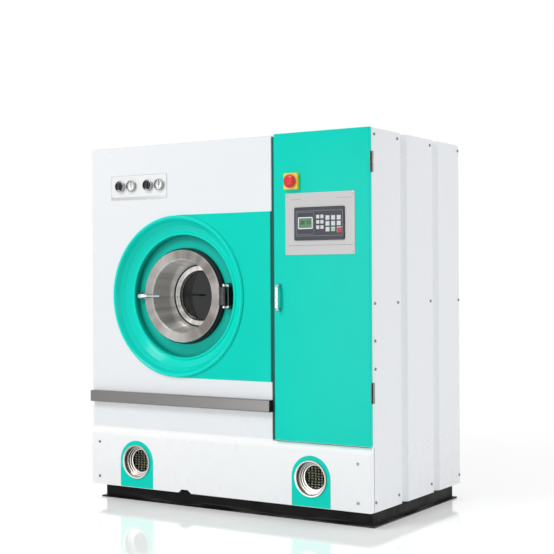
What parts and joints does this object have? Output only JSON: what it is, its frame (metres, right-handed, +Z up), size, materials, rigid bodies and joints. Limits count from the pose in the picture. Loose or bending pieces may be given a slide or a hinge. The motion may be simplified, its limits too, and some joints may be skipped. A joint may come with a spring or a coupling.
{
  "type": "dry cleaning machine",
  "caption": "Closed-cabinet dry cleaning machine: round glazed loading door on a perforated drum, hinged control cabinet door, solvent tanks behind sight glasses, channel plinth.",
  "frame": {"origin": "middle of the cabinet's width and depth, on the floor, at the underside of the plinth's middle cross member", "axes": "+X to the machine's right as seen from the front, -Y out of the front, +Z up"},
  "size_m": [1.639, 1.0025, 1.787],
  "materials": {
    "white_enamel": "smooth white enamel",
    "side_enamel": "smooth pale grey-white enamel",
    "teal_enamel": "glossy turquoise enamel",
    "black_enamel": "black enamel, satin",
    "frame_paint": "grey primer",
    "grey_enamel": "hammered grey enamel",
    "galvanised_sheet": "galvanised",
    "stainless": "brushed stainless",
    "polished_stainless": "polished",
    "chrome": "polished chrome",
    "dark_steel": "dark plated steel",
    "silver_plate": "satin anodised sheet",
    "zinc_steel": "zinc plated, dulled",
    "bearing_steel": "ground steel",
    "cast_iron": "as cast, painted",
    "rubber": "moulded black rubber",
    "door_glass": "tinted toughened glass",
    "sight_glass": "clear toughened glass",
    "black_plastic": "moulded black plastic",
    "dark_blue_plastic": "membrane keypad blue-black",
    "display_plastic": "lit screen in a black bezel",
    "key_plastic": "pale grey moulded keys",
    "red_plastic": "glossy red plastic",
    "yellow_plastic": "yellow plastic",
    "pointer_black": "matt black",
    "motor_paint": "blue enamel",
    "vessel_steel": "welded stainless vessel"
  },
  "bodies": {
    "cabinet": {"base_frame": "black_enamel", "cabinet_frame": "frame_paint", "upper_front_panel": "white_enamel", "fascia_plate": "teal_enamel", "door_bezel": "teal_enamel", "lower_front_panel": "white_enamel", "arch_plates": "teal_enamel", "bumper_bar": "stainless", "side_panel_left": "side_enamel", "side_panel_right": "side_enamel", "rear_panel": "side_enamel", "top_cover": "side_enamel", "compartment_wall": "galvanised_sheet", "door_surround": "white_enamel", "wash_tub": "stainless", "tub_gasket": "rubber", "bearing_housing": "cast_iron", "shaft_bearings": "bearing_steel", "drive_motor": "motor_paint", "drive_belt": "rubber", "fan_housing": "grey_enamel", "air_duct": "galvanised_sheet", "solvent_pump": "motor_paint", "solvent_filter": "vessel_steel", "solvent_still": "vessel_steel", "solvent_tank_left": "stainless", "solvent_tank_right": "stainless", "sight_rings": "polished_stainless", "sight_glasses": "sight_glass", "gauge_plate": "silver_plate", "gauge_cases": "chrome", "door_hinge_bracket": "dark_steel", "latch_keeper": "dark_steel", "hinge_frame_leaves": "zinc_steel", "panel_screws": "zinc_steel", "switchgear_plate": "galvanised_sheet", "switchgear": "black_plastic"},
    "cabinet_door": {"cabinet_door_leaf": "teal_enamel", "control_plate": "silver_plate", "controller_housing": "dark_blue_plastic", "controller_display": "display_plastic", "controller_keys": "key_plastic", "pull_handle": "chrome", "stop_button_box": "yellow_plastic", "hinge_door_leaves": "zinc_steel"},
    "stop_button": {"stop_button": "red_plastic"},
    "loading_door": {"door_ring": "polished_stainless", "door_bowl": "stainless", "door_glass": "door_glass", "door_hinge_arm": "dark_steel"},
    "door_latch": {"latch_handle": "chrome"},
    "drum": {"drum": "stainless", "drum_front": "stainless", "drum_pulley": "cast_iron"},
    "motor_rotor": {"motor_pulley": "cast_iron"},
    "fan_rotor": {"fan_impeller": "galvanised_sheet"},
    "regulator_knob_left": {"regulator_knob_left": "black_plastic"},
    "regulator_knob_right": {"regulator_knob_right": "black_plastic"},
    "gauge_pointer_left": {"gauge_pointer_left": "pointer_black"},
    "gauge_pointer_right": {"gauge_pointer_right": "pointer_black"}
  },
  "joints": [
    {"name": "loading_door_hinge", "type": "hinge", "parent": "cabinet", "child": "loading_door", "pos_m": [-0.019, -0.42, 1.034], "axis": [0, 0, 1], "range_deg": [0, 130]},
    {"name": "latch_turn", "type": "hinge", "parent": "loading_door", "child": "door_latch", "pos_m": [-0.505, -0.431, 1.034], "axis": [0, 1, 0], "range_deg": [0, 90]},
    {"name": "drum_spin", "type": "hinge", "parent": "cabinet", "child": "drum", "pos_m": [-0.269, -0.098, 1.034], "axis": [0, 1, 0], "continuous": true},
    {"name": "motor_spin", "type": "hinge", "parent": "cabinet", "child": "motor_rotor", "pos_m": [-0.042, 0.336, 0.476], "axis": [0, 1, 0], "continuous": true},
    {"name": "fan_spin", "type": "hinge", "parent": "cabinet", "child": "fan_rotor", "pos_m": [-0.159, -0.123, 1.581], "axis": [1, 0, 0], "continuous": true},
    {"name": "cabinet_door_hinge", "type": "hinge", "parent": "cabinet", "child": "cabinet_door", "pos_m": [0.818, -0.469, 1.034], "axis": [0, 0, 1], "range_deg": [0, 120]},
    {"name": "stop_press", "type": "slide", "parent": "cabinet_door", "child": "stop_button", "axis": [0, 1, 0], "range_m": [0, 0.006]},
    {"name": "regulator_turn_left", "type": "hinge", "parent": "cabinet", "child": "regulator_knob_left", "pos_m": [-0.617, -0.472, 1.586], "axis": [0, 1, 0], "range_deg": [0, 1080]},
    {"name": "regulator_turn_right", "type": "hinge", "parent": "cabinet", "child": "regulator_knob_right", "pos_m": [-0.44, -0.472, 1.586], "axis": [0, 1, 0], "range_deg": [0, 1080]},
    {"name": "gauge_needle_left", "type": "hinge", "parent": "cabinet", "child": "gauge_pointer_left", "pos_m": [-0.547, -0.473, 1.586], "axis": [0, 1, 0], "range_deg": [-135, 135]},
    {"name": "gauge_needle_right", "type": "hinge", "parent": "cabinet", "child": "gauge_pointer_right", "pos_m": [-0.37, -0.473, 1.586], "axis": [0, 1, 0], "range_deg": [-135, 135]}
  ],
  "couplings": [
    {"joint": "motor_spin", "follows": "drum_spin", "ratio": 4.6957}
  ]
}
